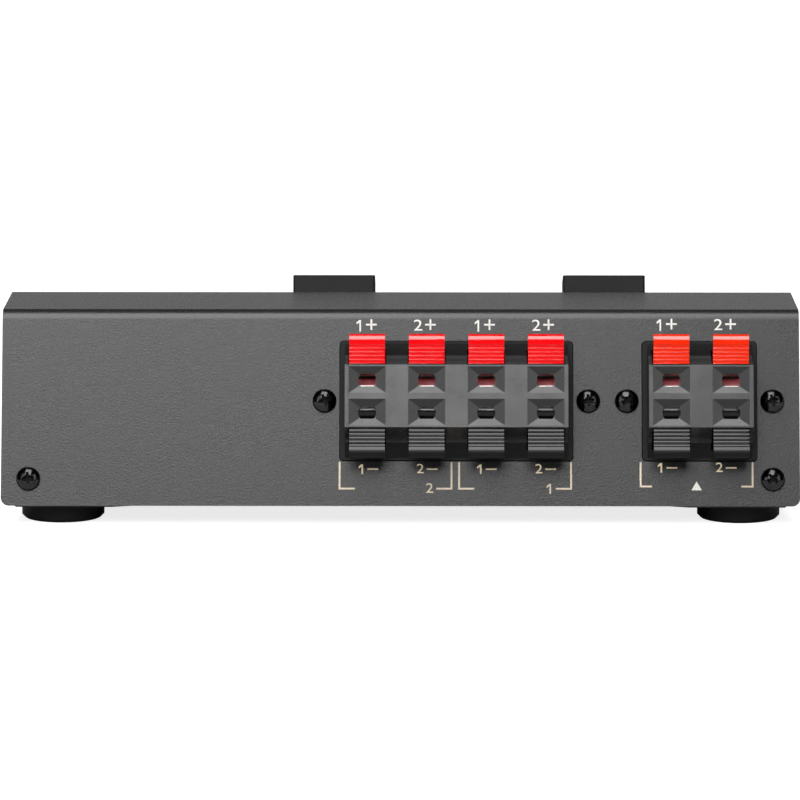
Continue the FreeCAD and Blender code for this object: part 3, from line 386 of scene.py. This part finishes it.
def cross_head_screw(place, spin):
    """A pan head and its shank about local Z, with the recess sunk into the head.

    The faces of the recess and of the low rim under the dome take the mesh's second material, a
    dull near-black that is painted shade in these hollows.
    """
    head_height = 0.0021
    # Both outlines are pairs of radius and height in millimetres.
    shank = [(0, -6), (1.5, -6), (1.5, 0)]
    head = [
        (3, 0), (3, 0.45), (2.94, 0.75), (2.72, 1.07), (2.38, 1.36), (2, 1.6), (1.6, 1.8),
        (1.2, 1.95), (0.8, 2.04), (0.4, 2.09), (0, 2.1)]
    screw = bmesh.new()
    line = [screw.verts.new((x / 1000, 0, z / 1000)) for x, z in shank + head]
    for start, end in zip(line, line[1:]):
        screw.edges.new((start, end))
    bmesh.ops.spin(
        screw, geom=screw.verts[:] + screw.edges[:], cent=(0, 0, 0), axis=(0, 0, 1),
        angle=2 * math.pi, steps=48, use_merge=True)
    bmesh.ops.remove_doubles(screw, verts=screw.verts, dist=1e-7)
    bmesh.ops.recalc_face_normals(screw, faces=screw.faces)

    wing_size, tip_taper = (0.0044, 0.0009, 0.0024), (0.5, 0.6, 1)
    cutter = bmesh.new()
    for turn in (0, math.pi / 2):
        wing = bmesh.ops.create_cube(cutter, size=1)["verts"]
        bmesh.ops.scale(cutter, verts=wing, vec=wing_size)
        tips = [vert for vert in wing if vert.co.z < 0]
        bmesh.ops.scale(cutter, verts=tips, vec=tip_taper)
        bmesh.ops.rotate(cutter, verts=wing, cent=(0, 0, 0), matrix=Matrix.Rotation(turn, 3, "Z"))
        bmesh.ops.translate(cutter, verts=wing, vec=(0, 0, head_height))
    bmesh.ops.create_cone(
        cutter, cap_ends=True, segments=24, radius1=0.0003, radius2=0.0017, depth=0.003,
        matrix=Matrix.Translation((0, 0, head_height)))
    tools = []
    for name, form in (("screw", screw), ("recess", cutter)):
        mesh = bpy.data.meshes.new(name)
        form.to_mesh(mesh)
        form.free()
        tool = bpy.data.objects.new(name, mesh)
        bpy.context.scene.collection.objects.link(tool)
        tools.append(tool)
    body, recess = tools
    cut = body.modifiers.new("recess", "BOOLEAN")
    cut.operation = "DIFFERENCE"
    cut.solver = "EXACT"
    cut.use_self = True
    cut.object = recess
    bpy.context.view_layer.update()
    mesh = bpy.data.meshes.new_from_object(
        body.evaluated_get(bpy.context.evaluated_depsgraph_get()))

    sunk = 0.08  # millimetres under the dome, past which a face belongs to the recess
    for face in mesh.polygons:
        reach = math.hypot(face.center.x, face.center.y) * 1000
        height = face.center.z * 1000
        for (outer, low), (inner, high) in zip(head, head[1:]):
            if inner <= reach <= outer:
                dome = low + (high - low) * (outer - reach) / (outer - inner)
                face.material_index = int(dome - height > sunk and height > 0)
    mesh.transform(place @ Matrix.Rotation(spin, 4, "Z"))
    bpy.data.objects.remove(body)
    bpy.data.objects.remove(recess)
    return mesh


def join_meshes(name, meshes):
    """One object out of several meshes, smooth except at its sharp edges."""
    whole = bmesh.new()
    for mesh in meshes:
        whole.from_mesh(mesh)
    for face in whole.faces:
        face.smooth = True
    mesh = bpy.data.meshes.new(name)
    whole.to_mesh(mesh)
    whole.free()
    mesh.set_sharp_from_angle(angle=math.radians(30))
    piece = bpy.data.objects.new(name, mesh)
    bpy.context.scene.collection.objects.link(piece)
    return piece


def blackened_steel(name):
    """Glossy black coating over steel, uneven in tone and shine where it is thin."""
    material, tree, place = new_material(name, metal=1.0)
    wear = noise(tree, place, 1400, detail=4)
    tone = blend(tree, wear, (0.014, 0.014, 0.014, 1), (0.06, 0.06, 0.06, 1), "RGBA")
    shine = ramp(tree, wear, 0.08, 0.2)
    coat(tree, tone, shine, wear, strength=0.15, depth=0.00004)
    return material


screw_black = blackened_steel("screw_black")
# The recess and the rim under the dome wear a duller, blacker finish than the head: painted shade.
recess_painted_shade = rubber("recess_painted_shade", (0.003, 0.003, 0.003))
BLOCK_MIDDLE = {"speaker": -14.0, "amplifier": -74.9}
BLOCK_RISE = 26.5
COLUMN_PITCH = 14.83
SCREW_SIDE = 10.8
CORNER_SIDE, CORNER_RISE = 93.15, 6.8
block_places = []
for block, columns in BLOCKS.items():
    reach = (columns - 1) / 2 * COLUMN_PITCH + SCREW_SIDE
    block_places += [(BLOCK_MIDDLE[block] + side * reach, BLOCK_RISE) for side in (1, -1)]
corner_places = [(side * CORNER_SIDE, CORNER_RISE) for side in (1, -1)]
for name, node, places, spins in (
    ("terminal_screw_heads", "terminal_screws", block_places, (0.35, 0.1, 0.9, 0.25)),
    ("corner_screw_heads", "case_screws", corner_places, (0.1, 0.75)),
):
    heads = join_meshes(name, [
        cross_head_screw(panel_place(x, rise, 0), spin)
        for (x, rise), spin in zip(places, spins)])
    round_edges(heads, 0.00016, 3, 32)
    stand_for(heads, node, "case", screw_black)
    heads.data.materials.append(recess_painted_shade)


# Printed marks: three pale inks, screened on the panel after it was baked. Each lever has its
# number and sign, and a bracket gathers the columns that belong together.

def printed_ink(name, colour):
    """Flat ink, a little thin and uneven over the pebbled paint."""
    material, tree, place = new_material(name)
    cover_power = noise(tree, place, 2600, detail=3)
    tint = shaded(tree, colour, ramp(tree, cover_power, 0.78, 1.0, 0.3, 0.6))
    coat(tree, tint, 0.55, cover_power, strength=0.2, depth=0.00002)
    return material


def on_panel(form, x, rise):
    """Turns a flat form, drawn in millimetres, into a thin layer of ink on the panel."""
    thickness, above_paint = 0.05, 0.03
    under = bmesh.ops.extrude_face_region(form, geom=form.faces[:])["geom"]
    bottom = [item for item in under if isinstance(item, bmesh.types.BMVert)]
    bmesh.ops.translate(form, verts=bottom, vec=(0, 0, -thickness))
    bmesh.ops.recalc_face_normals(form, faces=form.faces)
    mesh = bpy.data.meshes.new("mark")
    form.to_mesh(mesh)
    form.free()
    mesh.transform(panel_place(x, rise, above_paint) @ Matrix.Scale(0.001, 4))
    return mesh


def printed_bar(x, rise, width, height):
    """One ruled line of ink."""
    bar = bmesh.new()
    bmesh.ops.create_grid(bar, x_segments=1, y_segments=1, size=0.5)
    bmesh.ops.scale(bar, verts=bar.verts, vec=(width, height, 1))
    return on_panel(bar, x, rise)


def printed_number(number, x, rise, height):
    """A one with a flag, or a two, of the given height."""
    figure = bmesh.new()
    if number == 1:
        half = height / 2
        stem = [(0.1, -half), (0.5, -half), (0.5, half), (0.1, half)]
        flag = [(0.1, half - 0.62), (0.1, half), (-0.6, half - 0.6), (-0.6, half - 1.08)]
        for outline in (stem, flag):
            figure.faces.new([figure.verts.new((*spot, 0)) for spot in outline])
    else:
        digit_height, stretch = 0.72, 1.2
        curve = bpy.data.curves.new("two", "FONT")
        curve.body = "2"
        curve.size = height / digit_height
        curve.align_x = "CENTER"
        curve.align_y = "CENTER"
        sign = bpy.data.objects.new("two", curve)
        bpy.context.scene.collection.objects.link(sign)
        bpy.context.view_layer.update()
        figure.from_mesh(bpy.data.meshes.new_from_object(
            sign.evaluated_get(bpy.context.evaluated_depsgraph_get())))
        bmesh.ops.scale(figure, verts=figure.verts, vec=(stretch, 1, 1))
        bpy.data.objects.remove(sign)
    return on_panel(figure, x, rise)


SIGN_RISE = {"speaker": 45.5, "amplifier": 45.7}
SIGN_SHIFT = {"speaker": 0.5, "amplifier": 0.9}
UNDER_RISE = {"speaker": 9.3, "amplifier": 9.7}
UNDER_SHIFT = {"speaker": 0.0, "amplifier": 0.9}
SIGN_SPAN = 2.7
LINE, THIN_LINE = 0.44, 0.36
UPPER_NUMBER, LOWER_NUMBER, GROUP_NUMBER = 2.9, 2.45, 2.5
upper_marks, lower_marks, brackets = [], [], []
for block, columns in BLOCKS.items():
    rise, under = SIGN_RISE[block], UNDER_RISE[block]
    for column in range(columns):
        x = BLOCK_MIDDLE[block] + ((columns - 1) / 2 - column) * COLUMN_PITCH
        number = 1 + column % 2
        above, below = x + SIGN_SHIFT[block], x + UNDER_SHIFT[block]
        upper_marks += [
            printed_number(number, above + 1.7, rise, UPPER_NUMBER),
            printed_bar(above - 1.4, rise + 0.3, SIGN_SPAN, LINE),
            printed_bar(above - 1.4, rise + 0.3, LINE, SIGN_SPAN)]
        lower_marks += [
            printed_number(number, below + 1.6, under, LOWER_NUMBER),
            printed_bar(below - 1.35, under, SIGN_SPAN, THIN_LINE)]

BRACKET_RISE = {"speaker": 4.4, "amplifier": 5.0}
BRACKET_TOP = 10.9
BRACKET_HALF = 14.0
NUMBER_SIDE = -8.5
# Each group has its block, the shift from the block's middle, the bracket's arm and its number.
GROUPS = [("speaker", 15.2, 3.8, 2), ("speaker", -14.7, 3.8, 1), ("amplifier", 0.8, 2.8, None)]
for block, shift, arm, number in GROUPS:
    middle = BLOCK_MIDDLE[block] + shift
    rise = BRACKET_RISE[block]
    upright = BRACKET_TOP - rise + LINE
    for side in (1, -1):
        brackets += [
            printed_bar(middle + side * BRACKET_HALF, (rise + BRACKET_TOP) / 2, LINE, upright),
            printed_bar(middle + side * (BRACKET_HALF - arm / 2), rise, arm, LINE)]
    if number:
        brackets.append(printed_number(number, middle + NUMBER_SIDE, rise, GROUP_NUMBER))
    else:
        arrow = bmesh.new()
        bmesh.ops.create_circle(arrow, cap_ends=True, segments=3, radius=1.5)
        upper_marks.append(on_panel(arrow, middle, rise - 0.2))
# The gold ink under the blocks keeps its own tint but is made paler than it is: painted light over
# the blocks' shade.
for name, meshes, ink in (
    ("upper_marks", upper_marks, printed_ink("pale_ink", (0.70, 0.68, 0.64))),
    ("lower_marks", lower_marks, printed_ink("gold_ink_with_painted_light", (0.88, 0.74, 0.51))),
    ("brackets", brackets, printed_ink("cream_ink", (0.60, 0.50, 0.38))),
):
    print_layer = join_meshes(name, meshes)
    print_layer.data.materials.append(ink)
    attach(print_layer, "case")


# Buttons: moulded caps in satin black, each pushed on the white plunger of a latching switch. The
# switches are bought-in parts, soldered to the board.

cap_moulding = moulded_plastic("cap_moulding", (0.008, 0.008, 0.008), 0.45, grain=0.3, gloss=0.1)
plunger_moulding = moulded_plastic("plunger_moulding", (0.62, 0.60, 0.55), 0.4)
switch_moulding = moulded_plastic("switch_moulding", (0.016, 0.016, 0.017), 0.45)
for number in (1, 2):
    for node, slot, material, body, edge_round in (
        (f"button_cap_{number}", "button_plastic", cap_moulding, f"button_{number}", 0.0003),
        (f"switch_plunger_{number}", "plunger_plastic", plunger_moulding, f"button_{number}", 0.0),
        (f"push_switch_{number}", "switch_plastic", switch_moulding, "case", 0.0),
    ):
        piece = joined_copy(node, 30, edge_round, segments=3)
        stand_for(piece, node, body, material)


# Board and wires: brown paper laminate, held by zinc-coated screws on four brass standoffs, and
# leads in red and black vinyl, soldered to the terminals and the board. The feet's blackened
# screws go in with them.

board_brown = moulded_plastic("board_brown", (0.24, 0.13, 0.05), 0.45)
standoff_brass = bare_metal("standoff_brass", (0.72, 0.55, 0.26), 0.3, (1, 1, 6))
bright_zinc = bare_metal("bright_zinc", (0.62, 0.62, 0.64), 0.3, (1, 1, 1))
red_vinyl = moulded_plastic("red_vinyl", (0.5, 0.01, 0.012), 0.45)
black_vinyl = moulded_plastic("black_vinyl", (0.016, 0.016, 0.017), 0.45)
for node, slot, material in (
    ("switch_board", "board_laminate", board_brown),
    ("board_standoffs", "standoff_brass", standoff_brass),
    ("board_screws", "zinc_screw", bright_zinc),
    ("foot_screws", "black_screw", screw_black),
    ("red_wires", "red_insulation", red_vinyl),
    ("black_wires", "black_insulation", black_vinyl),
):
    piece = joined_copy(node, 30)
    stand_for(piece, node, "case", material)


# Studio: a white floor before a low white screen, under a dark ceiling. One large soft lamp hangs
# behind the camera, with a weak one at each side, and the room fills the shadows a little.

def seen_directly(tree):
    """Two factors of a ray: 1 if the camera sees it, and 1 if gloss or glass shows it."""
    path = tree.nodes.new("ShaderNodeLightPath").outputs
    mirrored = combine(tree, "MAXIMUM", path["Is Glossy Ray"], path["Is Transmission Ray"])
    return path["Is Camera Ray"], mirrored


floor_mesh = bmesh.new()
bmesh.ops.create_grid(floor_mesh, x_segments=1, y_segments=1, size=6)
mesh = bpy.data.meshes.new("floor")
floor_mesh.to_mesh(mesh)
floor_mesh.free()
floor = bpy.data.objects.new("floor", mesh)
bpy.context.scene.collection.objects.link(floor)
white_floor, tree, place = new_material("white_floor", gloss=0.0)
shader = tree.nodes["Principled BSDF"]
shader.inputs["Base Color"].default_value = (0.6, 0.6, 0.6, 1)
shader.inputs["Roughness"].default_value = 0.9
shader.inputs["Emission Color"].default_value = (1, 1, 1, 1)
distance_out = tree.nodes.new("ShaderNodeVectorMath")
distance_out.operation = "LENGTH"
tree.links.new(place, distance_out.inputs[0])
# The floor glows white for the camera, a little less near the case so that the case's shadow still
# shows. In gloss and glass it glows only away from the case, so near the case it shows dark: painted
# shade around the case in reflections.
glow = ramp(tree, distance_out.outputs["Value"], 0.8, 1.0, 0.25, 0.9)
mirror_glow_painted_shade = ramp(tree, distance_out.outputs["Value"], 0.0, 1.0, 0.15, 0.9)
camera_sees, gloss_shows = seen_directly(tree)
mirrored = blend(tree, gloss_shows, 0.0, mirror_glow_painted_shade)
tree.links.new(blend(tree, camera_sees, mirrored, glow), shader.inputs["Emission Strength"])
underneath = tree.nodes.new("ShaderNodeNewGeometry")
nothing = tree.nodes.new("ShaderNodeBsdfTransparent")
either = tree.nodes.new("ShaderNodeMixShader")
tree.links.new(underneath.outputs["Backfacing"], either.inputs["Fac"])
tree.links.new(shader.outputs["BSDF"], either.inputs[1])
tree.links.new(nothing.outputs["BSDF"], either.inputs[2])
tree.links.new(either.outputs["Shader"], tree.nodes["Material Output"].inputs["Surface"])
mesh.materials.append(white_floor)


def soft_lamp(name, place, width, height, energy):
    """A rectangular lamp that is turned towards the case."""
    lamp = bpy.data.lights.new(name, "AREA")
    lamp.shape = "RECTANGLE"
    lamp.size = width
    lamp.size_y = height
    lamp.energy = energy
    stand = bpy.data.objects.new(name, lamp)
    stand.location = place
    stand.rotation_euler = (-stand.location).to_track_quat("-Z", "Y").to_euler()
    bpy.context.scene.collection.objects.link(stand)


soft_lamp("soft_lamp", (0.14, 0.823, 1.133), 0.9, 1.75, 35)
for side in (1, -1):
    soft_lamp("side_card", (side * 0.93, 0.86, 0.59), 0.5, 0.9, 2.8)

world = bpy.data.worlds.new("studio")
world.use_nodes = True
tree = world.node_tree
room = tree.nodes["Background"]
room.inputs["Color"].default_value = (1, 1, 1, 1)
direction = tree.nodes.new("ShaderNodeTexCoord")
parts = tree.nodes.new("ShaderNodeSeparateXYZ")
tree.links.new(direction.outputs["Generated"], parts.inputs["Vector"])
screen_head = (math.sin(math.radians(11)), math.sin(math.radians(14)))
low = ramp(tree, parts.outputs["Z"], 1, 0, *screen_head)
behind = ramp(tree, parts.outputs["Y"], 1, 0, -0.2, 0.0)
screen = combine(tree, "MULTIPLY", low, behind)
camera_sees, gloss_shows = seen_directly(tree)
around = blend(tree, gloss_shows, 0.12, blend(tree, screen, 0.03, 0.65))
tree.links.new(blend(tree, camera_sees, around, 1.0), room.inputs["Strength"])
bpy.context.scene.world = world
bpy.context.scene.view_settings.view_transform = "Standard"


# Camera: a long lens behind the case, a little above it and nearly in its middle.

camera_data = bpy.data.cameras.new("camera")
camera_data.lens = 244.7
camera_data.sensor_width = 36
camera = bpy.data.objects.new("camera", camera_data)
aim = Vector((0.0004, -0.0007, 0.0228))
elevation = math.radians(9.47)
distance, side_step = 1.413, -0.008
camera.location = aim + Vector((
    side_step, distance * math.cos(elevation), distance * math.sin(elevation)))
camera.rotation_euler = (aim - camera.location).to_track_quat("-Z", "Y").to_euler()
bpy.context.scene.collection.objects.link(camera)
bpy.context.scene.camera = camera
